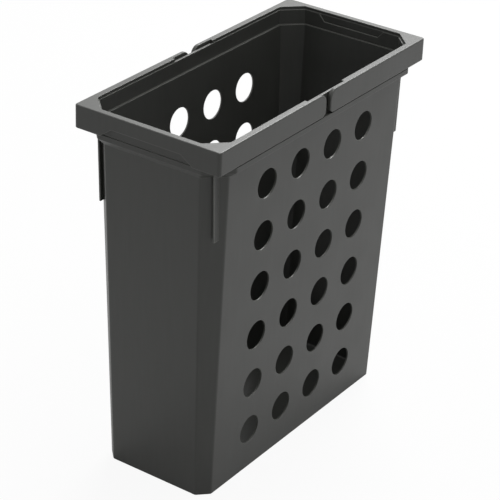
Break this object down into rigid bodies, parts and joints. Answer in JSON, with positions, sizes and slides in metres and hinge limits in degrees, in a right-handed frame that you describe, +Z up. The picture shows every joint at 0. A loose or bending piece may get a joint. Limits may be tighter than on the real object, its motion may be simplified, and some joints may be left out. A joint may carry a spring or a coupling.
{
  "type": "pull-out laundry basket",
  "caption": "Tall tapered laundry basket with a hanging shoulder, round ventilation holes in the long sides and U-shaped folding handles round the rim.",
  "frame": {"origin": "middle of the floor's underside", "axes": "+Z up, +Y along the basket's length from the front handle to the rear handle, +X across its width"},
  "size_m": [0.21, 0.44, 0.492],
  "materials": {
    "tub": "moulded polypropylene, anthracite, fine satin grain",
    "handle": "moulded polypropylene, anthracite, fine satin grain"
  },
  "bodies": {
    "tub": {"laundry_tub": "tub"},
    "front_handle": {"front_handle": "handle"},
    "rear_handle": {"rear_handle": "handle"}
  },
  "joints": [
    {"name": "front_handle_fold", "type": "hinge", "parent": "tub", "child": "front_handle", "pos_m": [0, -0.0164, 0.4804], "axis": [-1, 0, 0], "range_deg": [0, 90]},
    {"name": "rear_handle_fold", "type": "hinge", "parent": "tub", "child": "rear_handle", "pos_m": [0, 0.0164, 0.4804], "axis": [1, 0, 0], "range_deg": [0, 90]}
  ]
}
